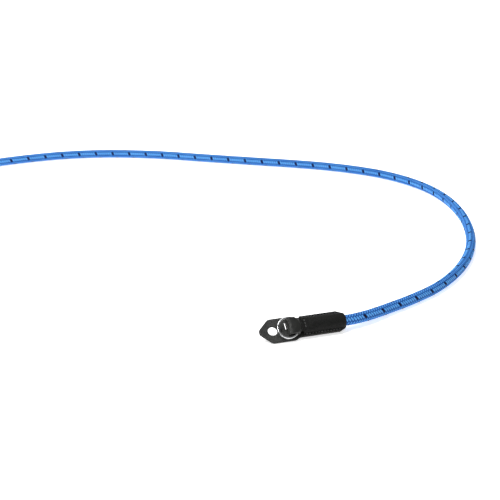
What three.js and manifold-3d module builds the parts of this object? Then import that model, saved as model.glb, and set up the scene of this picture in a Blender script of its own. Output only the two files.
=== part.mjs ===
// Camera neck strap: a round braided cord between two leather end fittings, each with a split ring.
// Millimetres, +Z up, lying on the plane z = 0. The origin is the middle of the two fittings' box,
// on that plane. Near is the end that lies towards the viewer, far is the other end.

import * as THREE from 'three';
import { mergeVertices } from 'three/addons/utils/BufferGeometryUtils.js';
import Module from 'manifold-3d';

const wasm = await Module();
wasm.setup();

// Cord
const cordDiameter = 8;
const cordHeld = 22;            // length of cord inside each sleeve
const cordGap = 0.3;            // clearance between the cord and the leather round it
const cordLead = 2;             // the cord is straight up to this short of the mouth
const cordSides = 10;
const cordSteps = 76;

// Fitting, seen flat: the tab's point is at 0 and the sleeve's mouth at fittingLength
const fittingLength = 62.0;
const tabLength = 26;           // point of the tab to where it narrows to the sleeve
const tabWidth = 18.5;
const tabLeather = 1.6;
const sleeveWidth = 15.2;
const sleeveStart = 30.5;       // point of the tab to the cover's front edge
const neckLength = 2.4;         // the tab narrows to the sleeve over this length
const neckEase = 0.35;          // left to narrow at the middle of the neck
const coverLeather = 1.4;
const layerGap = 0.3;           // between two leathers that are sewn together
const mouthChamfer = 4.6;       // cut corners of both layers beside the mouth
const mouthWall = 1.2;          // leather left beside the channel at the mouth
const edgeRoom = 0.2;           // least flat edge beside an arch
const troughShare = 0.8;        // most of the tab's half width that the trough may take
const holeDiameter = 6.7;
const holeSides = 28;
const holeFromTip = 9.7;
const slitWidth = 0.9;
const slitLength = 5.7;
const slitFromTip = 19.7;
const slitAside = 2.5;          // the slit's middle lies this far to the upper side
const archCount = 12;           // edges across an arch

// Split ring: two flat turns of wire, and where it lies in its loop
const ringOuter = 15.5;
const wireWidth = 1.15;
const wireHeight = 0.8;
const wireCut = 0.5;            // share of the wire's section left between its cut corners
const turnGap = 0.1;
const ringFromTip = 20.1;
const ringAside = -1;
const ringLift = 3.45;          // ring's middle above the tab
const ringLean = 10;            // degrees, upper side lifted
const ringSteps = 30;           // per turn
const ringEndGap = 20;          // degrees from each end of the wire to the middle of the step

// Loop: a strip folded over the ring's wire, its two ends between tab and cover
const stripWidth = 11.6;
const stripAside = -0.5;        // the strip's middle from the tab's middle line
const stripLeather = 1.1;
const stripTail = 6;            // length of the strip's ends under the cover
const wireGap = 0.7;            // room round the wire inside the fold
const foldAhead = 0.5;          // the fold's inner front lies this far past the ring's middle
const foldFull = 2.7;           // how boxy the fold is outside: 2 is an oval, more is boxier
const roomFull = 3.4;           // and inside
const foldSides = 24;
const foldParts = 8;            // steps across the strip
const cutPast = 1;              // a cut runs this far past the faces that it opens

// Where the fittings lie: [x, y] of the tab's point, turn about Z and roll about the cord's line
const nearTip = [181.0, -142.3];
const nearYaw = 16.3;
const nearRoll = 34;
const farTip = [-241.3, 113.2];
const farYaw = 28;
const farRoll = 27;

// The cord's own run between the two mouths, near to far: [x, y, height of its middle above the plane,
// as a share of the way from lying flat (0) to the sleeve's line (1)]
const cordRun = [
  [246.1, -122.8, 0.93], [252.3, -119.4, 0.78], [259.0, -115.1, 0.6], [266.0, -109.8, 0.39],
  [273.9, -103.5, 0.18], [293.1, -88.9, 0], [314.9, -69.6, 0], [333.2, -45.6, 0], [347.0, -19.1, 0],
  [356.0, 9.6, 0], [360.0, 39.4, 0], [359.5, 70.0, 0], [353.5, 101.0, 0], [341.5, 128.4, 0],
  [324.1, 150.2, 0], [301.9, 167.8, 0], [276.2, 180.4, 0], [248.0, 190.0, 0], [218.2, 197.0, 0],
  [172.5, 205.6, 0], [127.5, 214.3, 0], [82.5, 223.0, 0], [39.3, 226.4, 0], [10.6, 225.2, 0],
  [-18.2, 220.4, 0], [-47.7, 211.6, 0], [-75.0, 200.9, 0], [-102.3, 187.4, 0],
  [-128.9, 173.0, 0.05], [-156.5, 158.4, 0.4],
];

const cordRadius = cordDiameter / 2;
const channelRadius = cordRadius + cordGap;
const cordLift = layerGap / 2;  // the cord's line above the tab's upper face
const cordStart = fittingLength - cordHeld;
const troughHalf = channelRadius * 1.08;
const tailHalf = channelRadius - layerGap;
const sleeveLength = fittingLength - sleeveStart;
const mouthCut = sleeveWidth / 2 - channelRadius - mouthWall;
const mouthStart = 1 - mouthChamfer / sleeveLength;
const weldDistance = 1e-5;
const radians = THREE.MathUtils.degToRad;

// Half the width of the channel, and its height, along the sleeve. Shares of the sleeve's length.
const channelRows = [
  { along: 0.00, wide: 1.12, tall: 0.72, full: 3.4 },
  { along: 0.16, wide: 1.12, tall: 0.78, full: 2.9 },
  { along: 0.28, wide: 1.12, tall: 0.95, full: 2.3 },
  { along: 0.40, wide: 1.12, tall: 1.00, full: 2.0 },
  { along: 0.62, wide: 1.12, tall: 1.00, full: 2.0 },
  { along: mouthStart, wide: 1.10, tall: 1.00, full: 2.0 },
  { along: 0.95, wide: 1.05, tall: 1.00, full: 2.0 },
  { along: 1.00, wide: 1.02, tall: 1.00, full: 2.0 },
];

// The trough in the tab's back part, a share of full depth along the sleeve's length
const troughRows = [
  { along: 0.04, deep: 0.00 },
  { along: 0.12, deep: 0.35 },
  { along: 0.20, deep: 0.88 },
  { along: 0.24, deep: 1.00 },
  { along: 0.56, deep: 1.00 },
  { along: mouthStart, deep: 1.00 },
  { along: 1.00, deep: 1.00 },
];

// Outline of the tab's front part: shares of tabLength and of half its width
const tabRows = [
  { along: 0.000, half: 0.12 }, { along: 0.018, half: 0.22 }, { along: 0.045, half: 0.30 },
  { along: 0.270, half: 0.90 }, { along: 0.305, half: 0.965 }, { along: 0.350, half: 1.00 },
  { along: 0.500, half: 1.00 }, { along: 0.700, half: 1.00 }, { along: 0.930, half: 1.00 },
  { along: 0.965, half: 0.985 }, { along: 1.000, half: 0.93 },
];

const leatherBlack = () => new THREE.MeshStandardMaterial({ color: 0x262725, roughness: 0.5, metalness: 0 });
const ringSteel = () => new THREE.MeshStandardMaterial({ color: 0xd2d4d6, roughness: 0.2, metalness: 1 });
const cordBlue = () => new THREE.MeshStandardMaterial({ color: 0x2f7fd0, roughness: 0.8, metalness: 0 });

// Indexed geometry from a list of points and a list of triangles, with its faces turned outwards
function geometryOf(points, triangles) {
  let volume = 0;
  for (const [i, j, k] of triangles) {
    const [a, b, c] = [points[i], points[j], points[k]].map((p) => new THREE.Vector3(...p));
    volume += a.dot(b.cross(c));
  }
  const outwards = volume > 0 ? triangles : triangles.map(([i, j, k]) => [i, k, j]);
  const geometry = new THREE.BufferGeometry();
  geometry.setAttribute('position', new THREE.Float32BufferAttribute(points.flat(), 3));
  geometry.setIndex(outwards.flat());
  geometry.computeVertexNormals();
  return geometry;
}

// A closed sheet lofted along x. Each station has x and two lists of [y, z], lower and upper, of one
// length, both from the -y edge to the +y edge.
function sheetGeometry(stations) {
  const across = stations[0].lower.length;
  const ring = 2 * across;
  const points = stations.flatMap(({ x, lower, upper }) =>
    [...lower, ...upper].map(([y, z]) => [x, y, z]));
  const triangles = [];
  const quad = (a, b, c, d) => triangles.push([a, b, c], [a, c, d]);
  for (let i = 0; i + 1 < stations.length; i++) {
    const a = i * ring;
    const b = a + ring;
    for (let j = 0; j + 1 < across; j++) {
      quad(a + j, a + j + 1, b + j + 1, b + j);
      quad(b + across + j, b + across + j + 1, a + across + j + 1, a + across + j);
    }
    quad(b, b + across, a + across, a);
    quad(a + across - 1, a + ring - 1, b + ring - 1, b + across - 1);
  }
  const last = (stations.length - 1) * ring;
  for (let j = 0; j + 1 < across; j++) {
    quad(j, across + j, across + j + 1, j + 1);
    quad(last + j, last + j + 1, last + across + j + 1, last + across + j);
  }
  return geometryOf(points, triangles);
}

// A closed body lofted through closed sections of one count, fan caps at both ends
function loftGeometry(sections) {
  const count = sections[0].length;
  const points = sections.flat();
  const triangles = [];
  for (let i = 0; i + 1 < sections.length; i++) {
    for (let j = 0; j < count; j++) {
      const a = i * count + j;
      const b = i * count + ((j + 1) % count);
      triangles.push([a, b, b + count], [a, b + count, a + count]);
    }
  }
  const last = (sections.length - 1) * count;
  for (let j = 1; j + 1 < count; j++) {
    triangles.push([0, j + 1, j], [last, last + j, last + j + 1]);
  }
  return geometryOf(points, triangles);
}

function toSolid(geometry) {
  const bare = geometry.clone();
  bare.deleteAttribute('normal');
  bare.deleteAttribute('uv');
  const merged = mergeVertices(bare, weldDistance);
  return new wasm.Manifold(new wasm.Mesh({
    numProp: 3,
    vertProperties: new Float32Array(merged.attributes.position.array),
    triVerts: new Uint32Array(merged.index.array),
  }));
}

function toGeometry(solid) {
  const mesh = solid.getMesh();
  const geometry = new THREE.BufferGeometry();
  geometry.setAttribute('position', new THREE.BufferAttribute(new Float32Array(mesh.vertProperties), 3));
  geometry.setIndex(new THREE.BufferAttribute(new Uint32Array(mesh.triVerts), 1));
  geometry.computeVertexNormals();
  return geometry;
}

// One half of a rounded arch as [y, z] points from -wide to +wide. full 2 is an ellipse, more is boxier.
function archPoints(wide, tall, full, count) {
  const points = [];
  for (let i = 0; i <= count; i++) {
    const angle = Math.PI * (1 - i / count);
    const c = Math.cos(angle);
    const s = Math.sin(angle);
    points.push([
      wide * Math.sign(c) * Math.abs(c) ** (2 / full),
      tall * Math.abs(s) ** (2 / full),
    ]);
  }
  return points;
}

// Half the sleeve's width at x, with the corners beside the mouth cut
function sleeveHalf(x) {
  const fromMouth = fittingLength - x;
  const cut = Math.max(0, mouthChamfer - fromMouth) * mouthCut / mouthChamfer;
  return sleeveWidth / 2 - cut;
}

// Tab: flat in front, with a trough for the cord in its back part
function tabGeometry() {
  const half = tabWidth / 2;
  const front = tabRows.map((row) => ({ x: row.along * tabLength, half: row.half * half, deep: 0 }));
  const neck = [
    { x: tabLength + neckLength / 2, half: sleeveWidth / 2 + neckEase, deep: 0 },
    { x: tabLength + neckLength, half: sleeveWidth / 2, deep: 0 },
  ];
  const back = troughRows.map((row) => {
    const x = sleeveStart + row.along * sleeveLength;
    return { x, half: sleeveHalf(x), deep: row.deep };
  });
  const stations = [...front, ...neck, ...back].map(({ x, half: w, deep }) => {
    const troughWide = Math.min(troughHalf, w * troughShare);
    const troughDeep = deep * (channelRadius - cordLift);
    const bellyWide = Math.min(troughWide + deep * tabLeather, w - edgeRoom);
    const bellyDeep = troughDeep + deep * tabLeather;
    const upper = archPoints(troughWide, troughDeep, 2, archCount).map(([y, z]) => [y, -z]);
    const lower = archPoints(bellyWide, bellyDeep, 2, archCount)
      .map(([y, z]) => [y, -Math.max(z, tabLeather)]);
    return {
      x,
      lower: [[-w, -tabLeather], ...lower, [w, -tabLeather]],
      upper: [[-w, 0], ...upper, [w, 0]],
    };
  });
  const cutHeight = tabLeather + 2 * cutPast;
  const hole = new THREE.CylinderGeometry(holeDiameter / 2, holeDiameter / 2, cutHeight, holeSides);
  hole.rotateX(Math.PI / 2).translate(holeFromTip, 0, -tabLeather / 2);
  const slit = new THREE.BoxGeometry(slitWidth, slitLength, cutHeight);
  slit.translate(slitFromTip, slitAside, -tabLeather / 2);
  return toGeometry(toSolid(sheetGeometry(stations)).subtract(toSolid(hole)).subtract(toSolid(slit)));
}

// Cover: the sleeve's upper layer, an arch over the strip's ends and the cord, with a flange each side
function coverGeometry() {
  const stations = channelRows.map(({ along, wide, tall, full }) => {
    const x = sleeveStart + along * sleeveLength;
    const w = sleeveHalf(x);
    const a = channelRadius * wide;
    const b = (channelRadius - cordLift) * tall;
    const inner = archPoints(a, b, full, archCount);
    const outer = archPoints(Math.min(a + coverLeather, w - edgeRoom), b + coverLeather, full, archCount);
    const foot = layerGap;
    return {
      x,
      lower: [[-w, foot], ...inner.map(([y, z]) => [y, foot + z]), [w, foot]],
      upper: [
        [-w, foot + coverLeather],
        ...outer.map(([y, z]) => [y, foot + Math.max(z, coverLeather)]),
        [w, foot + coverLeather],
      ],
    };
  });
  return sheetGeometry(stations);
}

// A boxy oval in the x-z plane at y, as a closed section
function ovalSection(y, xMiddle, zMiddle, halfLength, halfHeight, full) {
  const section = [];
  for (let i = 0; i < foldSides; i++) {
    const angle = (2 * Math.PI * i) / foldSides;
    const c = Math.cos(angle);
    const s = Math.sin(angle);
    section.push([
      xMiddle + halfLength * Math.sign(c) * Math.abs(c) ** (2 / full),
      y,
      zMiddle + halfHeight * Math.sign(s) * Math.abs(s) ** (2 / full),
    ]);
  }
  return section;
}

// Loop: the fold round the ring's wire, taller at its upper side, and its doubled ends. The room inside
// the fold follows the wire: it ends just behind it at each y.
function loopGeometry() {
  const lean = radians(ringLean);
  const floorOfRoom = layerGap + stripLeather;
  const outers = [];
  const inners = [];
  for (let i = 0; i <= foldParts; i++) {
    const share = i / foldParts;
    const y = stripAside + stripWidth * (share - 0.5);
    const alongRing = (y - ringAside) / Math.cos(lean);
    const wireBack = ringFromTip + Math.sqrt((ringOuter / 2) ** 2 - alongRing ** 2);
    const wireTop = ringLift + alongRing * Math.sin(lean) + wireHeight + turnGap / 2;
    const room = { front: ringFromTip + foldAhead, back: wireBack + wireGap, roof: wireTop + wireGap };
    const xMiddle = (room.front + room.back) / 2;
    const halfRoom = (room.back - room.front) / 2;
    const zMiddle = (floorOfRoom + room.roof) / 2;
    const halfHeight = (room.roof - floorOfRoom) / 2;
    outers.push(ovalSection(
      y, xMiddle, zMiddle, halfRoom + stripLeather, halfHeight + stripLeather, foldFull));
    const past = i === 0 ? -cutPast : i === foldParts ? cutPast : 0;
    inners.push(ovalSection(y + past, xMiddle, zMiddle, halfRoom, halfHeight, roomFull));
  }
  const room = toSolid(loftGeometry(inners));
  const tailStart = ringFromTip + ringOuter / 2 - wireWidth;
  const tailEnd = sleeveStart + stripTail;
  const tail = new THREE.BoxGeometry(tailEnd - tailStart, 2 * tailHalf, 2 * stripLeather);
  tail.translate((tailStart + tailEnd) / 2, 0, layerGap + stripLeather);
  return toGeometry(toSolid(loftGeometry(outers)).add(toSolid(tail)).subtract(room));
}

// Split ring: one wire, two turns, crossing from the lower to the upper turn beside its two ends
function ringGeometry() {
  const radius = (ringOuter - wireWidth) / 2;
  const pitch = wireHeight + turnGap;
  const endGap = radians(ringEndGap);
  const sections = [];
  const count = 2 * ringSteps;
  for (let i = 0; i <= count; i++) {
    const angle = endGap + ((4 * Math.PI - 2 * endGap) * i) / count;
    const climb = THREE.MathUtils.smoothstep(angle, 2 * Math.PI - endGap, 2 * Math.PI + endGap);
    const z = pitch * (climb - 0.5);
    const turn = angle + Math.PI;
    const section = [];
    for (const [across, up] of wireSection()) {
      const r = radius + across;
      section.push([r * Math.cos(turn), r * Math.sin(turn), z + up]);
    }
    sections.push(section);
  }
  return loftGeometry(sections);
}

// Section of the wire: a flat oblong with cut corners, as [outwards, up]
function wireSection() {
  const w = wireWidth / 2;
  const h = wireHeight / 2;
  const flatW = w * wireCut;
  const flatH = h * wireCut;
  return [[-w, -flatH], [-w, flatH], [-flatW, h], [flatW, h],
    [w, flatH], [w, -flatH], [flatW, -h], [-flatW, -h]];
}

// Height of a fitting's line above the plane, so that the tab's edge or the trough's belly just touches
function lineHeight(roll) {
  const s = Math.sin(radians(roll));
  const c = Math.cos(radians(roll));
  const edge = (tabWidth / 2) * s + tabLeather * c;
  const belly = Math.hypot((troughHalf + tabLeather) * s, (channelRadius - cordLift + tabLeather) * c);
  return Math.max(edge, belly);
}

// A point of a fitting's own line, x from the tab's point, in the strap's frame
function onLine(tip, yaw, roll, x) {
  const turn = radians(yaw);
  const up = cordLift;
  const side = -up * Math.sin(radians(roll));
  return new THREE.Vector3(
    tip[0] + x * Math.cos(turn) - side * Math.sin(turn),
    tip[1] + x * Math.sin(turn) + side * Math.cos(turn),
    lineHeight(roll) + up * Math.cos(radians(roll)),
  );
}

function cordRoute() {
  const lead = [cordStart, fittingLength - cordHeld / 2, fittingLength - cordLead];
  const near = lead.map((x) => onLine(nearTip, nearYaw, nearRoll, x));
  const far = lead.map((x) => onLine(farTip, farYaw, farRoll, x)).reverse();
  const run = cordRun.map(([x, y, share], i) => {
    const roll = i < cordRun.length / 2 ? nearRoll : farRoll;
    return new THREE.Vector3(x, y, cordRadius + share * (lineHeight(roll) - cordRadius));
  });
  return new THREE.CatmullRomCurve3([...near, ...run, ...far], false, 'centripetal');
}

function cordMesh() {
  const section = new THREE.Shape();
  for (let i = 0; i < cordSides; i++) {
    const angle = (2 * Math.PI * i) / cordSides;
    const x = cordRadius * Math.cos(angle);
    const y = cordRadius * Math.sin(angle);
    if (i === 0) section.moveTo(x, y);
    else section.lineTo(x, y);
  }
  section.closePath();
  const geometry = new THREE.ExtrudeGeometry(section, {
    steps: cordSteps, bevelEnabled: false, extrudePath: cordRoute(),
  });
  const mesh = new THREE.Mesh(geometry, cordBlue());
  mesh.name = 'cord';
  return mesh;
}

function named(name, geometry, material) {
  const mesh = new THREE.Mesh(geometry, material);
  mesh.name = name;
  return mesh;
}

function fitting(end, tip, yaw, roll) {
  const group = new THREE.Group();
  group.rotation.order = 'ZYX';
  group.rotation.set(radians(roll), 0, radians(yaw));
  group.position.set(tip[0], tip[1], lineHeight(roll));
  const ring = named(`${end}_split_ring`, ringGeometry(), ringSteel());
  ring.position.set(ringFromTip, ringAside, ringLift);
  ring.rotation.x = radians(ringLean);
  group.add(
    named(`${end}_tab`, tabGeometry(), leatherBlack()),
    named(`${end}_cover`, coverGeometry(), leatherBlack()),
    named(`${end}_loop`, loopGeometry(), leatherBlack()),
    ring,
  );
  return group;
}

const strap = new THREE.Group();
strap.add(
  fitting('near', nearTip, nearYaw, nearRoll),
  cordMesh(),
  fitting('far', farTip, farYaw, farRoll),
);

export default strap;
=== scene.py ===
import math
import bmesh
import bpy
import numpy as np
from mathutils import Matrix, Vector


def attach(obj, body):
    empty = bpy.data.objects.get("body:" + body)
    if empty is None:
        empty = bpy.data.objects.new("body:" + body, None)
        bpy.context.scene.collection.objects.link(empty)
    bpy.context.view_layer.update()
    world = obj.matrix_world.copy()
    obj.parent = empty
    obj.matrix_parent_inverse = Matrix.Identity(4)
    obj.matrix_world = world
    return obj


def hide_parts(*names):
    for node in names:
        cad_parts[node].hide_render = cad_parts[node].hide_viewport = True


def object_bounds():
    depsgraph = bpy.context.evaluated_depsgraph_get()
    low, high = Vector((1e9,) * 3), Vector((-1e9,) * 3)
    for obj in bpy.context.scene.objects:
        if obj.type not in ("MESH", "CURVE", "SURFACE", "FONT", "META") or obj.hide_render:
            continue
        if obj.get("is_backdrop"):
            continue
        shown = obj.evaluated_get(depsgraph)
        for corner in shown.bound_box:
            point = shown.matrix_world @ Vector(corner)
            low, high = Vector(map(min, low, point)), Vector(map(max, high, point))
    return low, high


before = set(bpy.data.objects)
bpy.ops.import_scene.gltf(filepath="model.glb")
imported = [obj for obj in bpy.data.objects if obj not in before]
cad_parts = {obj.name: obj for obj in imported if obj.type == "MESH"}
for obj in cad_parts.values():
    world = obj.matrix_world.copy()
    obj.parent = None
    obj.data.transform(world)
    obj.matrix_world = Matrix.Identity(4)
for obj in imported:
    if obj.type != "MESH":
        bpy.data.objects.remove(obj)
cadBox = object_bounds()
mm = 0.001  # the pieces are measured in millimetres, the camera, lamps and textures in metres

cameraLook = {
    "place": (0.1747, -0.7567, 0.358), "tilt": 64.84, "lens": 74.0, "sensor": 36.0, "nearest": 0.01,
}


def makeCamera(look):
    data = bpy.data.cameras.new("photoCamera")
    data.lens, data.sensor_width, data.clip_start = look["lens"], look["sensor"], look["nearest"]
    camera = bpy.data.objects.new("photoCamera", data)
    camera.location = look["place"]
    camera.rotation_euler = (math.radians(look["tilt"]), 0, 0)
    bpy.context.collection.objects.link(camera)
    bpy.context.scene.camera = camera


makeCamera(cameraLook)
print("camera placed")

# Where the two fittings lie, as in the CAD: the tab's point, the turn about Z and the roll about
# the cord's line
fittingPlaces = {
    "near": {"tip": (181.0, -142.3), "yaw": 16.3, "roll": 34},
    "far": {"tip": (-241.3, 113.2), "yaw": 28, "roll": 27},
}
# A fitting's own measures: x runs from the tab's point to the mouth, z is 0 on the tab's upper face
sleeve = {
    "start": 30.5, "length": 62.0, "width": 15.2,  # start is the cover's front, length the mouth
    "chamfer": 4.6, "wall": 1.2,  # the mouth's cut corners, and the leather left beside the cord
    "channel": 4.3, "lift": 0.15,  # half the room for the cord, and its line above the tab's face
    "gap": 0.3,  # between tab and cover
    "held": 22, "lead": 2,  # how far the cord goes in, and its last route point short of the mouth
    "tabWidth": 18.5, "tabLeather": 1.6, "coverLeather": 1.4,
    "troughHalf": 4.3 * 1.08, "edgeRoom": 0.2,
}


def lineHeight(roll):  # the fitting rests on its lower edge or its belly, whichever lifts it more
    s, c = math.sin(math.radians(roll)), math.cos(math.radians(roll))
    edge = sleeve["tabWidth"] / 2 * s + sleeve["tabLeather"] * c
    belly = math.hypot((sleeve["troughHalf"] + sleeve["tabLeather"]) * s,
                       (sleeve["channel"] - sleeve["lift"] + sleeve["tabLeather"]) * c)
    return max(edge, belly)


def toRow(place, points):  # a fitting's own millimetres to the scene's metres
    yaw, roll = math.radians(place["yaw"]), math.radians(place["roll"])
    along = np.array([math.cos(yaw), math.sin(yaw), 0])
    side = np.array([-math.sin(yaw), math.cos(yaw), 0])
    up = np.array([0, 0, 1.0])
    axes = np.array([along, side * math.cos(roll) + up * math.sin(roll),
                     up * math.cos(roll) - side * math.sin(roll)])
    origin = np.array([*place["tip"], lineHeight(place["roll"])])
    return (np.asarray(points, float) @ axes + origin) * mm


def sleeveHalf(x):
    over = max(0.0, sleeve["chamfer"] - (sleeve["length"] - x))
    cut = sleeve["width"] / 2 - sleeve["channel"] - sleeve["wall"]
    return sleeve["width"] / 2 - over * cut / sleeve["chamfer"]


cordLook = {
    "diameter": 8.0, "relief": 0.5,  # relief is how deep the valleys between yarns are
    "yarns": 8, "perYarn": 5, "turn": 16.994,  # yarns each way, points for each, length of one turn
    "firstShift": 0.002, "lengthShift": -0.245,  # where the braid starts, in turns
    "twist": -52.0, "twistFrom": 50, "twistTo": 450,  # degrees, eased in between these reaches
    "knotParts": 60, "pathStep": 24,
    # between the mouths, near to far: x, y, share of the way up to the sleeve's line
    "run": [
        (246.1, -122.8, 0.93), (252.3, -119.4, 0.78), (259.0, -115.1, 0.6), (266.0, -109.8, 0.39),
        (273.9, -103.5, 0.18), (293.1, -88.9, 0), (314.9, -69.6, 0), (333.2, -45.6, 0),
        (347.0, -19.1, 0), (356.0, 9.6, 0), (360.0, 39.4, 0), (359.5, 70.0, 0), (353.5, 101.0, 0),
        (341.5, 128.4, 0), (324.1, 150.2, 0), (301.9, 167.8, 0), (276.2, 180.4, 0),
        (248.0, 190.0, 0), (218.2, 197.0, 0), (172.5, 205.6, 0), (127.5, 214.3, 0),
        (82.5, 223.0, 0), (39.3, 226.4, 0), (10.6, 225.2, 0), (-18.2, 220.4, 0),
        (-47.7, 211.6, 0), (-75.0, 200.9, 0), (-102.3, 187.4, 0), (-128.9, 173.0, 0.05),
        (-156.5, 158.4, 0.4),
    ],
}


def cordKnots(look):
    lead = [sleeve["length"] - sleeve["held"], sleeve["length"] - sleeve["held"] / 2,
            sleeve["length"] - sleeve["lead"]]
    near, far = ([toRow(fittingPlaces[end], [(x, 0, sleeve["lift"])])[0] for x in lead]
                 for end in ("near", "far"))
    radius = look["diameter"] / 2
    middle = []
    for i, (x, y, share) in enumerate(look["run"]):
        end = "near" if i < len(look["run"]) / 2 else "far"
        top = lineHeight(fittingPlaces[end]["roll"])
        middle.append(np.array([x, y, radius + share * (top - radius)]) * mm)
    return np.array([*near, *middle, *far[::-1]])


def smoothRun(knots, parts):  # centripetal curve through the knots, as dense points
    ends = [2 * knots[0] - knots[1], *knots, 2 * knots[-1] - knots[-2]]
    out = []
    for i in range(1, len(ends) - 2):
        p = ends[i - 1:i + 3]
        spans = [np.linalg.norm(p[k + 1] - p[k]) ** 0.5 for k in range(3)]
        t = np.concatenate([[0], np.cumsum(spans)])
        u = np.linspace(t[1], t[2], parts, endpoint=False)[:, None]
        mix = lambda a, b, low, high: (high - u) / (high - low) * a + (u - low) / (high - low) * b
        a = [mix(p[k], p[k + 1], t[k], t[k + 1]) for k in range(3)]
        b = [mix(a[k], a[k + 1], t[k], t[k + 2]) for k in range(2)]
        out.append(mix(b[0], b[1], t[1], t[2]))
    return np.vstack([*out, knots[-1:]])


def evenly(points, step):  # the same line with even steps, and how far along each point is
    reach = np.concatenate([[0], np.cumsum(np.linalg.norm(np.diff(points, axis=0), axis=1))])
    count = int(round(reach[-1] / step)) + 1
    at = np.linspace(0, reach[-1], count)
    return np.stack([np.interp(at, reach, points[:, k]) for k in range(3)], 1), at


def eased(share):  # 0 to 1 with a soft start and end
    return share * share * (3 - 2 * share)


def turnedOut(points, faces):  # faces reversed where the closed shell is inside out
    volume = 0.0
    for face in faces:
        p = points[face]
        volume += np.einsum("i,ji->", p[0], np.cross(p[1:-1], p[2:]))
    return faces if volume > 0 else [face[::-1] for face in faces]


def addPiece(name, points, faces, material):
    mesh = bpy.data.meshes.new(name)
    mesh.from_pydata(np.asarray(points).tolist(), [], faces)
    mesh.materials.append(material)
    mesh.polygons.foreach_set("use_smooth", [True] * len(mesh.polygons))
    mesh.update()
    piece = bpy.data.objects.new(name, mesh)
    bpy.context.collection.objects.link(piece)
    return piece


def markSharp(piece, angle):  # edges that turn by more than the angle stay crisp
    shell = bmesh.new()
    shell.from_mesh(piece.data)
    for edge in shell.edges:
        edge.smooth = edge.calc_face_angle(0) < math.radians(angle)
    shell.to_mesh(piece.data)
    shell.free()


def finishPiece(piece, slot, *nodes):
    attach(piece, "root")
    if nodes:
        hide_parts(*nodes)
    print("made", piece.name, len(piece.data.polygons), "faces")


class Wire:  # a node's socket, whose operators add Math nodes
    def __init__(self, tree, socket=None):
        self.tree, self.socket = tree, socket

    def node(self, kind, settings={}, inputs={}, output=0):
        made = self.tree.nodes.new(kind)
        for key, value in settings.items():
            setattr(made, key, value)
        for key, value in inputs.items():
            if isinstance(value, Wire):
                self.tree.links.new(value.socket, made.inputs[key])
            else:
                made.inputs[key].default_value = value
        return Wire(self.tree, made.outputs[output]) if made.outputs else None

    def maths(self, operation, *values):
        return self.node("ShaderNodeMath", {"operation": operation}, dict(enumerate(values)))

    def __add__(self, other): return self.maths("ADD", self, other)
    def __radd__(self, other): return self.maths("ADD", other, self)
    def __sub__(self, other): return self.maths("SUBTRACT", self, other)
    def __rsub__(self, other): return self.maths("SUBTRACT", other, self)
    def __mul__(self, other): return self.maths("MULTIPLY", self, other)
    def __rmul__(self, other): return self.maths("MULTIPLY", other, self)
    def __pow__(self, other): return self.maths("POWER", self, other)
    def __mod__(self, other): return self.maths("FLOORED_MODULO", self, other)
    def __lt__(self, other): return self.maths("LESS_THAN", self, other)
    def floor(self): return self.maths("FLOOR", self)
    def size(self): return self.maths("ABSOLUTE", self)
    def sine(self): return self.maths("SINE", self)

    def between(self, low, high):  # 0 to 1 as the value goes from low to high
        return self.node("ShaderNodeMapRange", {"interpolation_type": "SMOOTHSTEP"},
                         {"Value": self, "From Min": low, "From Max": high})

    def pick(self, first, second):  # first where the value is 0, second where it is 1
        return self.node("ShaderNodeMix", {"data_type": "RGBA"}, {0: self, 6: first, 7: second}, 2)


def newMaterial(name):
    material = bpy.data.materials.new(name)
    material.use_nodes = True
    material.node_tree.nodes.clear()
    return material, Wire(material.node_tree)


def closeMaterial(tools, inputs):
    shader = tools.node("ShaderNodeBsdfPrincipled", {}, inputs)
    tools.node("ShaderNodeOutputMaterial", {}, {"Surface": shader})


def ownPlace(tools):  # where a point is on the piece, in metres
    return tools.node("ShaderNodeTexCoord", output="Object")


def noise(tools, place, scale, detail=3.0, roughness=0.55):
    return tools.node("ShaderNodeTexNoise", {}, {
        "Vector": place, "Scale": scale, "Detail": detail, "Roughness": roughness})


def bumped(tools, look, height):
    return tools.node("ShaderNodeBump", {}, {
        "Strength": look["bumpStrength"], "Distance": look["bump"], "Height": height})


braidLook = {
    "light": (0.11, 0.38, 0.84, 1), "deep": (0.003, 0.075, 0.36, 1),
    # the valleys' colour is painted shade between the yarns
    "valleyShade": (0.001, 0.017, 0.10, 1), "fleck": (0.0008, 0.003, 0.022, 1),
    "acrossPower": 2.4, "alongPower": 3.0,  # how square a yarn's crown is each way
    "fleckEdge": (0.10, 0.28), "valleyShadeEdge": (0.0, 0.35), "toneRange": (0.05, 0.95),
    "filaments": 4, "speckleScale": 900.0, "driftScale": 60.0,
    # the crown, strand and over tones paint shading and sheen into the colour; the speckle and
    # drift tones are the yarn's own random tone
    "crownShadingTone": 0.75, "strandShadingTone": 0.15, "speckleTone": 0.4, "driftTone": 0.25, "overSheenTone": 0.28,
    "lessTone": 0.5,
    "crownHeight": 0.5, "strandHeight": 0.35, "speckleHeight": 0.3, "bump": 0.00010,
    "bumpStrength": 0.8, "rough": 0.5, "valleyRough": 0.25,
    "sheen": 0.03, "sheenRough": 0.4, "specular": 0.15,
}


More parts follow.
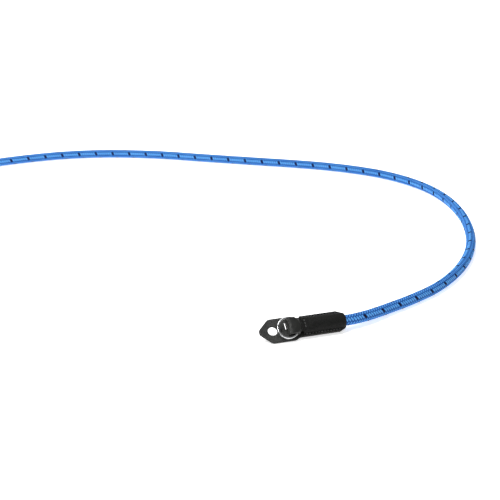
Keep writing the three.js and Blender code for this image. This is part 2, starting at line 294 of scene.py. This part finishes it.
def braidMaterial(look, yarns):  # the same braid as braidRelief, one yarn of it dark
    material, tools = newMaterial("blueBraid")
    place = tools.node("ShaderNodeUVMap", {"uv_map": "braid"})
    u, v = (tools.node("ShaderNodeSeparateXYZ", {}, {0: place}, axis) for axis in ("X", "Y"))
    a, b = (u + v) * yarns, (u - v) * yarns
    ia, ib = a.floor(), b.floor()
    fa, fb = a - ia, b - ib
    step = (ia + ib) % 4
    over = step < 1.5  # steps 0 and 1 of a yarn lie over, 2 and 3 under
    across = over * fa + (1 - over) * fb
    along = over * (step + fb) * 0.5 + (1 - over) * (step - 2 + fa) * 0.5
    x, y = (across * 2 - 1).size(), (along * 2 - 1).size()
    crown = (1 - x ** look["acrossPower"]) * (1 - y ** look["alongPower"])
    tracer = over * ((ia % yarns) < 0.5) * crown.between(*look["fleckEdge"])
    strand = (across * (2 * math.pi * look["filaments"])).sine() * 0.5 + 0.5
    speckle = noise(tools, ownPlace(tools), look["speckleScale"])
    drift = noise(tools, ownPlace(tools), look["driftScale"], 2.0)
    # tone is partly painted light: lighter on each yarn's crown and darker down its sides, striped
    # across its filaments (painted shading), and lighter on the yarns lying over (painted sheen);
    # speckle and drift are random tone
    tone = (crown * look["crownShadingTone"] + strand * look["strandShadingTone"] + speckle * look["speckleTone"]
            + drift * look["driftTone"] + over * look["overSheenTone"] - look["lessTone"])
    colour = tone.between(*look["toneRange"]).pick(look["deep"], look["light"])
    # painted shade: where the crown falls away into the valleys between yarns, the colour goes
    # darker
    colour = crown.between(*look["valleyShadeEdge"]).pick(look["valleyShade"], colour)
    colour = tracer.pick(colour, look["fleck"])
    height = (crown * look["crownHeight"] + strand * look["strandHeight"] * crown
              + speckle * look["speckleHeight"])
    closeMaterial(tools, {
        "Base Color": colour, "Roughness": look["rough"] + look["valleyRough"] * (1 - crown),
        "Normal": bumped(tools, look, height), "Sheen Weight": look["sheen"],
        "Sheen Roughness": look["sheenRough"], "Specular IOR Level": look["specular"]})
    return material


def braidRelief(u, v, yarns, look):  # two over two: 1 on a yarn's crown, 0 in the valleys
    a, b = yarns * (u + v), yarns * (u - v)
    ia, ib = np.floor(a), np.floor(b)
    fa, fb = a - ia, b - ib
    step = (ia + ib) % 4
    over = step < 1.5
    across = np.where(over, fa, fb)
    along = np.where(over, (step + fb) / 2, (step - 2 + fa) / 2)
    return ((1 - np.abs(2 * across - 1) ** look["acrossPower"])
            * (1 - np.abs(2 * along - 1) ** look["alongPower"]))


def makeCord(look, braid, material):
    around = look["yarns"] * look["perYarn"]
    path, at = evenly(smoothRun(cordKnots(look), look["knotParts"]), look["turn"] / around * mm)
    length, reach = float(at[-1]), at / mm
    tangent = np.gradient(path, axis=0)
    tangent /= np.linalg.norm(tangent, axis=1)[:, None]
    side = np.cross(tangent, [0, 0, 1.0])
    side /= np.linalg.norm(side, axis=1)[:, None]
    up = np.cross(side, tangent)
    share = np.clip((reach - look["twistFrom"]) / (look["twistTo"] - look["twistFrom"]), 0, 1)
    twist = math.radians(look["twist"]) * eased(share)
    u = np.arange(around) / around
    v = (reach / look["turn"] + look["lengthShift"])[:, None]
    angle = 2 * math.pi * u[None, :] + twist[:, None]
    relief = braidRelief(u[None, :] + look["firstShift"], v, look["yarns"], braid)
    radius = (look["diameter"] / 2 - look["relief"] * (1 - relief))[:, :, None] * mm
    out = np.cos(angle)[:, :, None] * side[:, None] + np.sin(angle)[:, :, None] * up[:, None]
    points = (path[:, None] + radius * out).reshape(-1, 3)
    rows = np.arange(len(path) - 1)[:, None] * around
    cols = np.arange(around)
    after = (cols + 1) % around
    quads = np.stack([rows + cols, rows + around + cols, rows + around + after, rows + after], -1)
    quads = quads.reshape(-1, 4)
    ends = [list(range(around)), list(range(len(points) - around, len(points)))[::-1]]
    cord = addPiece("braided_cord", points, quads.tolist() + ends, material)
    columns = quads % around
    wraps = (columns.max(1) - columns.min(1) > 1)[:, None] & (columns == 0)
    across = (columns + around * wraps) / around + look["firstShift"]
    uv = np.zeros((len(cord.data.loops), 2))
    uv[:quads.size] = np.stack([across.ravel(), v[quads.ravel() // around, 0]], 1)
    cord.data.uv_layers.new(name="braid").data.foreach_set("uv", uv.ravel())
    print("cord is", round(length, 4), "m long")
    finishPiece(cord, "cord_braid", "cord")
    mouth = toRow(fittingPlaces["near"], [(sleeve["length"], 0, sleeve["lift"])])[0]


makeCord(cordLook, braidLook, braidMaterial(braidLook, cordLook["yarns"]))

leatherLook = {
    "dark": (0.0100, 0.0105, 0.0095, 1), "light": (0.036, 0.038, 0.034, 1),
    "cut": (0.012, 0.011, 0.010, 1),  # the rim, where the blade went through
    # the crease tone paints shade into the grain's creases
    "toneRange": (0.2, 0.8), "patchTone": 0.5, "warpTone": 0.3, "creaseShadeTone": 0.3, "lessTone": 0.1,
    "pebbleScale": 1100.0, "creaseEdge": (0.0, 0.22), "bendScale": 500.0, "bend": 0.0009,
    "warpScale": 420.0, "fineScale": 3500.0, "patchScale": 90.0,
    "fineHeight": 0.35, "warpHeight": 0.5, "bump": 0.00018, "bumpStrength": 0.75,
    "rough": 0.36, "creaseRough": 0.2, "patchRough": 0.12, "cutRough": 0.25, "specular": 0.5,
    "kinds": {
        "tabLeather": {"grain": 0.45, "shade": 1.0, "polish": 0.0},
        # the cover is the same leather as the tab, its colour painted darker by shade 0.3 (painted
        # shade) and its specular lowered with it
        "coverLeather": {"grain": 1.0, "shade": 0.3, "polish": 0.0},
        "loopLeather": {"grain": 0.25, "shade": 1.0, "polish": 0.12},
    },
}


def leatherMaterial(name, look, grain, shade, polish):
    material, tools = newMaterial(name)
    # shade scales the leather's colour down: painted shade, used on the cover
    dark, light = ([c * shade for c in look[key][:3]] + [1] for key in ("dark", "light"))
    place = ownPlace(tools)
    warp = noise(tools, place, look["warpScale"], 2.0)
    fine = noise(tools, place, look["fineScale"], 2.0)
    patch = noise(tools, place, look["patchScale"])
    bend = tools.node("ShaderNodeTexNoise", {}, {
        "Vector": place, "Scale": look["bendScale"]}, "Color")
    bent = tools.node("ShaderNodeVectorMath", {"operation": "MULTIPLY_ADD"}, {
        0: bend, 1: (look["bend"],) * 3, 2: place})
    pebble = tools.node("ShaderNodeTexVoronoi", {"feature": "DISTANCE_TO_EDGE"}, {
        "Vector": bent, "Scale": look["pebbleScale"]})
    crease = pebble.between(*look["creaseEdge"])
    rim = tools.node("ShaderNodeAttribute", {"attribute_name": "rim"}, {}, "Fac")
    # painted shade: the grain's creases are coloured darker than the pebbles' tops; patch and warp
    # are the leather's own random tone
    tone = (patch * look["patchTone"] + warp * look["warpTone"]
            + crease * look["creaseShadeTone"] * grain - look["lessTone"])
    colour = tone.between(*look["toneRange"]).pick(dark, light)
    height = crease * grain + fine * look["fineHeight"] + warp * look["warpHeight"]
    rough = (look["rough"] - polish + look["creaseRough"] * (1 - crease) * grain
             + look["patchRough"] * patch + look["cutRough"] * rim)
    closeMaterial(tools, {
        "Base Color": rim.pick(colour, look["cut"]), "Roughness": rough,
        "Normal": bumped(tools, look, height), "Specular IOR Level": look["specular"] * shade})
    return material


leathers = {name: leatherMaterial(name, leatherLook, **kind)
            for name, kind in leatherLook["kinds"].items()}

# How every leather sheet is laid out: its rows of points at the rims, in shares of the rim
sheetLook = {
    "edge": (0.0, 0.06, 0.2, 0.45), "ends": (0.0, 0.12, 0.35, 0.7, 1.1), "endRoom": 1.6,
    "flange": 5, "innerRoom": 0.1, "cutShare": 0.35,
}


def sheetSections(stations, halfOf, innerOf, topOf, bottomOf, rim, innerCount):
    first, last = stations[0], stations[-1]
    edgeShares = np.array(sheetLook["edge"])
    sections, rims = [], []
    for x in stations:
        half = halfOf(x)
        inner = min(innerOf(x), half - rim - sheetLook["innerRoom"])
        edge = half - edgeShares * rim / edgeShares[-1]
        flange = np.linspace(edge[-1], inner, sheetLook["flange"])[1:-1]
        arc = inner * np.cos(np.linspace(0, math.pi, innerCount))
        right = np.concatenate([edge, flange])
        ys = np.concatenate([right, arc, -right[::-1]])
        distance = np.minimum(half - np.abs(ys), min(x - first, last - x))
        share = np.clip(1 - distance / rim, 0, 1)
        inset = rim * (1 - np.sqrt(1 - share * share))
        top = np.array([topOf(x, y) for y in ys]) - inset
        bottom = np.array([bottomOf(x, y) for y in ys]) + inset
        upper = np.stack([np.full(len(ys), x), ys, top], 1)
        lower = np.stack([np.full(len(ys), x), ys, bottom], 1)[::-1]
        sections.append(np.vstack([upper, lower]))
        rims.append(np.concatenate([distance, distance[::-1]]) < rim * sheetLook["cutShare"])
    return np.array(sections), np.array(rims)


def endStations(first, last, step, rim):  # even steps, closer together at both ends
    ease = np.array(sheetLook["ends"]) * rim
    room = sheetLook["endRoom"] * rim
    middle = np.arange(first + room, last - room, step)
    return np.concatenate([first + ease, middle, (last - ease)[::-1]])


def loft(sections):  # points and outward faces of a closed skin through a row of outlines
    count, around = sections.shape[:2]
    points = sections.reshape(-1, 3)
    rows = np.arange(count - 1)[:, None] * around
    cols = np.arange(around)
    after = (cols + 1) % around
    faces = np.stack([rows + cols, rows + after, rows + around + after, rows + around + cols], -1)
    faces = faces.reshape(-1, 4).tolist()
    faces += [list(range(around))[::-1], list(range((count - 1) * around, count * around))]
    return points, turnedOut(points, faces)


def paintRim(piece, values):  # 1 on the cut rims, for the leather's material
    layer = piece.data.attributes.new("rim", "FLOAT", "POINT")
    layer.data.foreach_set("value", np.asarray(values, float).ravel())


def keepEvaluated(piece):  # the modifiers' result becomes the piece's own mesh
    shown = piece.evaluated_get(bpy.context.evaluated_depsgraph_get())
    mesh = bpy.data.meshes.new_from_object(shown)
    piece.modifiers.clear()
    piece.data = mesh


def setDown(piece, end, sharp, node):  # from the fitting's millimetres to its place in the scene
    flat = np.empty(len(piece.data.vertices) * 3)
    piece.data.vertices.foreach_get("co", flat)
    piece.data.vertices.foreach_set("co", toRow(fittingPlaces[end], flat.reshape(-1, 3)).ravel())
    piece.data.update()
    markSharp(piece, sharp)
    finishPiece(piece, "black_leather", node)


tabLook = {
    # from the point to the neck: share of the tab's length, share of its half width
    "rows": [(0.0, 0.12), (0.018, 0.22), (0.045, 0.30), (0.27, 0.90), (0.305, 0.965), (0.35, 1.0),
             (0.93, 1.0), (0.965, 0.985), (1.0, 0.93)],
    # from the cover's front to the mouth: share of that length, share of the trough's depth
    "trough": [(0.04, 0.0), (0.12, 0.35), (0.20, 0.88), (0.24, 1.0), (1.0, 1.0)],
    "tabLength": 26.0, "neck": 2.4, "neckEase": 0.35, "troughShare": 0.8,
    "blur": 0.35, "blurWeights": (1, 3, 4, 3, 1),  # rounds the outline's corners
    "tipLift": 0.5, "tipReach": 9.0, "rim": 0.45, "step": 0.5, "innerPoints": 25, "sharp": 48,
    "hole": {"radius": 3.35, "from": 9.7, "flare": 0.28, "points": 64},
    "slit": {"width": 0.9, "length": 5.7, "from": 19.7, "aside": 2.5, "bow": 0.3, "flare": 0.12,
             "endSteps": 12},
    "cutPast": 0.6,  # how far the cutters stand out of the leather
}


def tabHalf(x, look):
    if x > look["tabLength"] + look["neck"]:
        return sleeveHalf(x)
    half = sleeve["tabWidth"] / 2
    at = [s * look["tabLength"] for s, w in look["rows"]] + [
        look["tabLength"] + look["neck"] / 2, look["tabLength"] + look["neck"]]
    wide = [w * half for s, w in look["rows"]] + [
        sleeve["width"] / 2 + look["neckEase"], sleeve["width"] / 2]
    weights = look["blurWeights"]
    near = [x + k * look["blur"] for k in (-2, -1, 0, 1, 2)]
    return sum(w * np.interp(max(q, 0.0), at, wide) for q, w in zip(near, weights)) / sum(weights)


def cutterFrom(name, outlineOf, flare, past, material):  # a closed shape through the leather
    leather = sleeve["tabLeather"]
    rows = [(-leather - past, flare + past), (-leather, flare), (-leather + flare, 0.0),
            (-flare, 0.0), (0.0, flare), (past, flare + past)]  # height and how far it opens there
    outlines = [[(x, y, height) for x, y in outlineOf(opening)] for height, opening in rows]
    return addPiece(name, *loft(np.array(outlines, float)), material)


def holeOutline(opening, look):
    turn = np.linspace(0, 2 * math.pi, look["points"], endpoint=False)
    r = look["radius"] + opening
    return [(look["from"] + r * math.cos(t), r * math.sin(t)) for t in turn]


def slitOutline(opening, look):
    half, long = look["width"] / 2, look["length"] / 2
    r, outline = half + opening, []
    for start, middle in ((0, long - half), (math.pi, half - long)):
        for k in range(look["endSteps"] + 1):
            t = start + math.pi * k / look["endSteps"]
            x, y = r * math.cos(t), middle + r * math.sin(t)
            outline.append((look["from"] + x - look["bow"] * (y / long) ** 2, look["aside"] + y))
    return outline


def makeTab(end, look, material):
    start, length = sleeve["start"], sleeve["length"] - sleeve["start"]
    deepAt = [start + s * length for s, d in look["trough"]]
    deeps = [d for s, d in look["trough"]]
    deepOf = lambda x: float(np.interp(x, deepAt, deeps)) if x > deepAt[0] else 0.0
    halfOf = lambda x: tabHalf(x, look)
    troughOf = lambda x: min(sleeve["troughHalf"], halfOf(x) * look["troughShare"])
    liftOf = lambda x: look["tipLift"] * max(0.0, 1 - x / look["tipReach"]) ** 2
    full = sleeve["channel"] - sleeve["lift"]

    def topOf(x, y):
        dip = deepOf(x) * full * math.sqrt(max(0.0, 1 - (y / troughOf(x)) ** 2))
        return liftOf(x) - dip

    def bottomOf(x, y):
        deep = deepOf(x)
        wide = min(troughOf(x) + deep * sleeve["tabLeather"], halfOf(x) - sleeve["edgeRoom"])
        belly = deep * (full + sleeve["tabLeather"]) * math.sqrt(max(0.0, 1 - (y / wide) ** 2))
        return liftOf(x) - max(belly, sleeve["tabLeather"])

    stations = endStations(0.0, sleeve["length"], look["step"], look["rim"])
    sections, rims = sheetSections(stations, halfOf, troughOf, topOf, bottomOf, look["rim"],
                                   look["innerPoints"])
    tab = addPiece(f"{end}_leather_tab", *loft(sections), material)
    paintRim(tab, rims)
    for name, outline in (("hole", holeOutline), ("slit", slitOutline)):
        shape = look[name]
        cutter = cutterFrom(f"{name}Cut", lambda opening: outline(opening, shape), shape["flare"],
                            look["cutPast"], material)
        cut = tab.modifiers.new("cut", "BOOLEAN")
        cut.operation, cut.object, cut.solver = "DIFFERENCE", cutter, "EXACT"
        keepEvaluated(tab)
        bpy.data.objects.remove(cutter)
    setDown(tab, end, look["sharp"], f"{end}_tab")


coverLook = {
    # from the front to the mouth: share of the length, arch's width and height, its squareness
    "rows": [(0.0, 1.12, 0.72, 3.4), (0.16, 1.12, 0.78, 2.9), (0.28, 1.12, 0.95, 2.3),
             (0.40, 1.12, 1.0, 2.0), (0.62, 1.12, 1.0, 2.0), (0.854, 1.10, 1.0, 2.0),
             (0.95, 1.05, 1.0, 2.0), (1.0, 1.02, 1.0, 2.0)],
    "rim": 0.4, "step": 0.4, "innerPoints": 45, "innerShare": 0.6, "blend": 0.8, "sharp": 55,
    "seams": [((31.6, 6.6), (57.6, 6.6)), ((31.6, -6.6), (57.6, -6.6)),
              ((32.3, -3.3), (32.3, 3.3))],
    "groove": 0.20, "pit": 0.28, "grooveHalf": 0.5, "grooveReach": 1.5, "groovePast": 0.6,
}
stitchLook = {
    "pitch": 2.15, "length": 1.65, "wide": 0.7, "high": 0.5, "seed": 4, "smallest": 0.92,
    "largest": 1.06, "segments": 10, "rings": 8, "seamStep": 0.25, "standsOut": 0.28,
}


def archRow(x, look):
    share = (x - sleeve["start"]) / (sleeve["length"] - sleeve["start"])
    at = [row[0] for row in look["rows"]]
    return [float(np.interp(share, at, [row[k] for row in look["rows"]])) for k in (1, 2, 3)]


def coverTop(x, y, look):
    wide, tall, full = archRow(x, look)
    leather = sleeve["coverLeather"]
    a = min(sleeve["channel"] * wide + leather, sleeveHalf(x) - sleeve["edgeRoom"])
    b = (sleeve["channel"] - sleeve["lift"]) * tall + leather
    arch = b * max(0.0, 1 - abs(y / a) ** full) ** (1 / full)
    blend = max(0.0, look["blend"] - abs(arch - leather)) / look["blend"]
    high = max(arch, leather) + blend * blend * look["blend"] / 4
    past = look["groovePast"]
    for (x0, y0), (x1, y1) in look["seams"]:  # a groove along each seam, deeper at the holes
        long = math.hypot(x1 - x0, y1 - y0)
        ahead = ((x - x0) * (x1 - x0) + (y - y0) * (y1 - y0)) / long
        aside = ((x - x0) * (y1 - y0) - (y - y0) * (x1 - x0)) / long
        if -past < ahead < long + past and abs(aside) < look["grooveReach"]:
            hole = 0.5 + 0.5 * math.cos(2 * math.pi * ahead / stitchLook["pitch"])
            depth = look["groove"] + look["pit"] * hole
            high -= math.exp(-(aside / look["grooveHalf"]) ** 2) * depth
    return sleeve["gap"] + high


def coverBottom(x, y, look):
    wide, tall, full = archRow(x, look)
    a, b = sleeve["channel"] * wide, (sleeve["channel"] - sleeve["lift"]) * tall
    return sleeve["gap"] + b * max(0.0, 1 - min(1.0, abs(y / a)) ** full) ** (1 / full)


def makeCover(end, look, material):
    stations = endStations(sleeve["start"], sleeve["length"], look["step"], look["rim"])
    innerOf = lambda x: (sleeve["channel"] * archRow(x, look)[0]
                         + sleeve["coverLeather"] * look["innerShare"])
    sections, rims = sheetSections(
        stations, sleeveHalf, innerOf, lambda x, y: coverTop(x, y, look),
        lambda x, y: coverBottom(x, y, look), look["rim"], look["innerPoints"])
    cover = addPiece(f"{end}_leather_cover", *loft(sections), material)
    paintRim(cover, rims)
    setDown(cover, end, look["sharp"], f"{end}_cover")


threadLook = {
    "dark": (0.012, 0.012, 0.012, 1), "light": (0.085, 0.086, 0.083, 1),
    # the twist tone paints shading between the thread's plies
    "twistScale": 900.0, "tuftScale": 2500.0, "twistShadeTone": 0.6, "tuftTone": 0.4,
    "bump": 0.00008, "bumpStrength": 0.6, "rough": 0.45, "tuftRough": 0.3, "sheen": 0.2,
}


def threadMaterial(look):
    material, tools = newMaterial("blackThread")
    place = ownPlace(tools)
    twist = tools.node("ShaderNodeTexWave", {"bands_direction": "DIAGONAL"}, {
        "Vector": place, "Scale": look["twistScale"], "Distortion": 1.0})
    tuft = noise(tools, place, look["tuftScale"])
    # painted shading: lighter and darker diagonal bands along the thread's twist, where the plies
    # turn from the light; tuft is the thread's own random tone
    tone = twist * look["twistShadeTone"] + tuft * look["tuftTone"]
    closeMaterial(tools, {
        "Base Color": tone.pick(look["dark"], look["light"]), "Sheen Weight": look["sheen"],
        "Roughness": look["rough"] + look["tuftRough"] * tuft,
        "Normal": bumped(tools, look, twist)})
    return material


def stitchTree(look, material):  # stitches along the edges of a mesh that holds the seams
    tree = bpy.data.node_groups.new("stitchRow", "GeometryNodeTree")
    face = tree.interface
    face.new_socket("Geometry", in_out="INPUT", socket_type="NodeSocketGeometry")
    face.new_socket("Geometry", in_out="OUTPUT", socket_type="NodeSocketGeometry")
    for name in ("pitch", "length", "wide", "high"):
        socket = face.new_socket(name, in_out="INPUT", socket_type="NodeSocketFloat")
        socket.default_value = look[name] * mm
    socket = face.new_socket("seed", in_out="INPUT", socket_type="NodeSocketInt")
    socket.default_value = look["seed"]
    tools = Wire(tree)
    given = tree.nodes.new("NodeGroupInput")
    wires = {socket.name: Wire(tree, socket) for socket in given.outputs}
    run = tools.node("GeometryNodeMeshToCurve", {}, {0: wires["Geometry"]})
    run = tools.node("GeometryNodeResampleCurve", {"mode": "LENGTH"}, {
        "Curve": run, "Length": wires["pitch"]})
    ahead = tools.node("GeometryNodeInputTangent")
    turn = tools.node("FunctionNodeAlignRotationToVector", {"axis": "X"}, {"Vector": ahead})
    size = tools.node("ShaderNodeCombineXYZ", {}, {
        0: wires["length"], 1: wires["wide"], 2: wires["high"]})
    bead = tools.node("GeometryNodeMeshUVSphere", {}, {
        "Segments": look["segments"], "Rings": look["rings"], "Radius": 0.5})
    bead = tools.node("GeometryNodeTransform", {}, {"Geometry": bead, "Scale": size})
    vary = tools.node("FunctionNodeRandomValue", {"data_type": "FLOAT"}, {
        2: look["smallest"], 3: look["largest"], 8: wires["seed"]}, 1)
    rows = tools.node("GeometryNodeInstanceOnPoints", {}, {
        "Points": run, "Instance": bead, "Rotation": turn, "Scale": vary})
    rows = tools.node("GeometryNodeRealizeInstances", {}, {0: rows})
    rows = tools.node("GeometryNodeSetShadeSmooth", {}, {0: rows})
    rows = tools.node("GeometryNodeSetMaterial", {}, {0: rows, "Material": material})
    leave = tree.nodes.new("NodeGroupOutput")
    tree.links.new(rows.socket, leave.inputs[0])
    return tree


def makeStitches(end, look, cover, tree):
    points, edges = [], []
    for (x0, y0), (x1, y1) in cover["seams"]:
        long = math.hypot(x1 - x0, y1 - y0)
        shares = np.arange(look["pitch"] / 2, long - look["pitch"] / 4, look["seamStep"]) / long
        base = len(points)
        for share in shares:
            x, y = x0 + share * (x1 - x0), y0 + share * (y1 - y0)
            points.append((x, y, coverTop(x, y, cover) + look["high"] * look["standsOut"]))
        edges += [(base + k, base + k + 1) for k in range(len(shares) - 1)]
    mesh = bpy.data.meshes.new("seams")
    mesh.from_pydata(toRow(fittingPlaces[end], points).tolist(), edges, [])
    piece = bpy.data.objects.new(f"{end}_stitches", mesh)
    bpy.context.collection.objects.link(piece)
    rows = piece.modifiers.new("stitchRow", "NODES")
    rows.node_group = tree
    for item in tree.interface.items_tree:
        if item.in_out == "INPUT" and item.name in look:
            rows[item.identifier] = look[item.name] * (1 if item.name == "seed" else mm)
    keepEvaluated(piece)
    finishPiece(piece, "black_leather")


ringLook = {
    "from": 20.1, "aside": -1.0, "lift": 3.45, "lean": 10,  # its middle and its tilt
    "outer": 15.5, "wireWide": 1.15, "wireHigh": 0.8, "turnGap": 0.1, "endGap": 20,
    "squareness": 0.7, "endShare": 0.82, "steps": 110, "sides": 16, "sharp": 40,
}
loopLook = {
    "width": 11.6, "aside": -0.5, "leather": 1.1, "rim": 0.3, "innerEase": 0.5,
    "room": 0.7, "ahead": 0.5,  # round the ring's wire, and in front of the ring's middle
    "full": 2.7, "roomFull": 3.4,  # how square the fold is outside and inside
    "around": 48, "across": 22, "middleShares": (0.07, 0.93), "sharp": 50,
    "edgeShares": ((0, 0.012, 0.035), (0.965, 0.988, 1)),
    "tail": 6.0, "tailAhead": 1.2, "tailStep": 0.8, "tailShare": 0.6, "tailPoints": 9,
}


def squared(values, power):  # a round section's sines made squarer
    return np.sign(values) * np.abs(values) ** power


def ovalRing(y, middle, half, full, count):
    turn = np.linspace(0, 2 * math.pi, count, endpoint=False)
    return np.stack([middle[0] + half[0] * squared(np.cos(turn), 2 / full), np.full(count, y),
                     middle[1] + half[1] * squared(np.sin(turn), 2 / full)], 1)


def foldRings(look, ring):  # the folded strip's outlines from one side to the other, out and in
    lean = math.radians(ring["lean"])
    floor, front = sleeve["gap"] + look["leather"], ring["from"] + look["ahead"]
    firsts, lasts = look["edgeShares"]
    outers, inners = [], []
    for share in [*firsts, *np.linspace(*look["middleShares"], look["across"]), *lasts]:
        across = look["width"] * (share - 0.5)
        y = look["aside"] + across
        alongRing = (y - ring["aside"]) / math.cos(lean)
        back = ring["from"] + math.sqrt((ring["outer"] / 2) ** 2 - alongRing ** 2) + look["room"]
        roof = ring["lift"] + alongRing * math.sin(lean) + ring["wireHigh"] + ring["turnGap"] / 2
        roof += look["room"]
        middle = ((front + back) / 2, (floor + roof) / 2)
        half = ((back - front) / 2, (roof - floor) / 2)
        distance = look["width"] / 2 - abs(across)
        over = min(1.0, max(0.0, 1 - distance / look["rim"]))
        inset = look["rim"] * (1 - math.sqrt(1 - over * over))
        wall, ease = look["leather"] - inset, inset * look["innerEase"]
        outer, inner = [h + wall for h in half], [h + ease for h in half]
        outers.append(ovalRing(y, middle, outer, look["full"], look["around"]))
        inners.append(ovalRing(y, middle, inner, look["roomFull"], look["around"]))
    return outers, inners


def makeLoop(end, look, ring, material):
    outers, inners = foldRings(look, ring)
    points = np.vstack(outers + inners)
    rows, count = len(outers), look["around"]
    shift, top = rows * count, (rows - 1) * count
    faces = []
    for j in range(top):
        a, b = j, j - j % count + (j + 1) % count
        faces.append([a, b, b + count, a + count])
        faces.append([shift + a, shift + a + count, shift + b + count, shift + b])
    for j in range(count):
        k = (j + 1) % count
        faces.append([j, shift + j, shift + k, k])
        faces.append([top + j, top + k, shift + top + k, shift + top + j])
    halfTail = sleeve["channel"] - sleeve["gap"]
    tailFrom = ring["from"] + ring["outer"] / 2 - ring["wireWide"] + look["tailAhead"]
    stations = endStations(tailFrom, sleeve["start"] + look["tail"], look["tailStep"], look["rim"])
    sections, _ = sheetSections(
        stations, lambda x: halfTail, lambda x: halfTail * look["tailShare"],
        lambda x, y: sleeve["gap"] + 2 * look["leather"], lambda x, y: sleeve["gap"],
        look["rim"], look["tailPoints"])
    tail, tailFaces = loft(sections)
    faces = turnedOut(points, faces) + [[k + len(points) for k in face] for face in tailFaces]
    loop = addPiece(f"{end}_leather_loop", np.vstack([points, tail]), faces, material)
    edge = np.zeros(len(points) + len(tail))
    for row in (0, top, shift, shift + top):
        edge[row:row + count] = 1
    paintRim(loop, edge)
    setDown(loop, end, look["sharp"], f"{end}_loop")


steelLook = {
    "colour": (0.78, 0.79, 0.80, 1), "dull": (0.60, 0.61, 0.62, 1), "dullEdge": (0.3, 0.8),
    "scuffScale": 1400.0, "smearScale": 260.0, "rough": 0.13, "scuffRough": 0.15,
    "bump": 0.00003, "bumpStrength": 0.25,
}


def steelMaterial(look):
    material, tools = newMaterial("ringSteel")
    place = ownPlace(tools)
    scuff = noise(tools, place, look["scuffScale"], 4.0)
    smear = noise(tools, place, look["smearScale"], 2.0)
    closeMaterial(tools, {
        "Base Color": smear.between(*look["dullEdge"]).pick(look["colour"], look["dull"]),
        "Metallic": 1.0, "Normal": bumped(tools, look, scuff),
        "Roughness": look["rough"] + look["scuffRough"] * scuff})
    return material


def makeRing(end, look, material):  # two turns of flat wire that cross over opposite the ends
    radius = (look["outer"] - look["wireWide"]) / 2
    pitch = look["wireHigh"] + look["turnGap"]
    gap, lean = math.radians(look["endGap"]), math.radians(look["lean"])
    count = 2 * look["steps"]
    section = np.linspace(0, 2 * math.pi, look["sides"], endpoint=False)
    across = squared(np.cos(section), look["squareness"]) * look["wireWide"] / 2
    high = squared(np.sin(section), look["squareness"]) * look["wireHigh"] / 2
    sections = []
    for i in range(count + 1):
        angle = gap + (4 * math.pi - 2 * gap) * i / count
        share = min(1.0, max(0.0, (angle - (2 * math.pi - gap)) / (2 * gap)))
        z = pitch * (eased(share) - 0.5)
        shrink = look["endShare"] if i in (0, count) else 1.0
        r = radius + across * shrink
        turn = angle + math.pi
        x, y, h = r * math.cos(turn), r * math.sin(turn), z + high * shrink
        sections.append(np.stack([
            look["from"] + x, look["aside"] + y * math.cos(lean) - h * math.sin(lean),
            look["lift"] + y * math.sin(lean) + h * math.cos(lean)], 1))
    points, faces = loft(np.array(sections))
    ring = addPiece(f"{end}_steel_ring", toRow(fittingPlaces[end], points), faces, material)
    markSharp(ring, look["sharp"])
    finishPiece(ring, "ring_steel", f"{end}_split_ring")


stitches = stitchTree(stitchLook, threadMaterial(threadLook))
steel = steelMaterial(steelLook)
for end in fittingPlaces:
    makeTab(end, tabLook, leathers["tabLeather"])
    makeCover(end, coverLook, leathers["coverLeather"])
    makeStitches(end, stitchLook, coverLook, stitches)
    makeLoop(end, loopLook, ringLook, leathers["loopLeather"])
    makeRing(end, ringLook, steel)

stageLook = {
    "floor": (0.97, 0.97, 0.97, 1), "floorHalf": 9, "floorGlow": 0.7, "floorRough": 0.7,
    "floorSpecular": 0.2,
    "horizon": (0.7, 0.7, 0.7, 1), "ceiling": (0.2, 0.2, 0.2, 1), "ceilingFrom": (0.06, 0.3),
    "lamps": [
        {"name": "overheadPanel", "place": (-0.3, 0.35, 1.5), "aim": (0.05, 0.1, 0), "size": 1.0,
         "power": 22.0},
        {"name": "leftPanel", "place": (-0.38, -0.35, 1.4), "aim": (0.2, -0.1, 0), "size": 0.4,
         "power": 11.0},
    ],
}


def makeFloor(look):
    material, tools = newMaterial("paleFloor")
    closeMaterial(tools, {
        "Base Color": look["floor"], "Roughness": look["floorRough"],
        "Specular IOR Level": look["floorSpecular"],
        "Emission Color": look["floor"], "Emission Strength": look["floorGlow"]})
    h = look["floorHalf"]
    corners = np.array([(-h, -h, 0), (h, -h, 0), (h, h, 0), (-h, h, 0)], float)
    addPiece("floor", corners, [[0, 1, 2, 3]], material)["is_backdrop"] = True


def makeRoom(look):  # pale at the horizon, so the floor has no edge, and darker above
    world = bpy.data.worlds.new("paleRoom")
    world.use_nodes = True
    tools = Wire(world.node_tree)
    toward = tools.node("ShaderNodeTexCoord", output="Generated")
    height = tools.node("ShaderNodeSeparateXYZ", {}, {0: toward}, "Z")
    shade = height.between(*look["ceilingFrom"]).pick(look["horizon"], look["ceiling"])
    world.node_tree.links.new(shade.socket, world.node_tree.nodes["Background"].inputs[0])
    bpy.context.scene.world = world
    bpy.context.scene.view_settings.view_transform = "Standard"


def makeLamp(look):
    data = bpy.data.lights.new(look["name"], "AREA")
    data.shape, data.size, data.energy = "SQUARE", look["size"], look["power"]
    panel = bpy.data.objects.new(look["name"], data)
    panel.location = look["place"]
    aim = Vector(look["aim"]) - Vector(look["place"])
    panel.rotation_euler = aim.to_track_quat("-Z", "Y").to_euler()
    bpy.context.collection.objects.link(panel)


makeFloor(stageLook)
makeRoom(stageLook)
for lamp in stageLook["lamps"]:
    makeLamp(lamp)
print("stage set")

plain = lambda box: [[float(c) for c in corner] for corner in box]
{"cad": plain(cadBox), "visual": plain(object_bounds())}
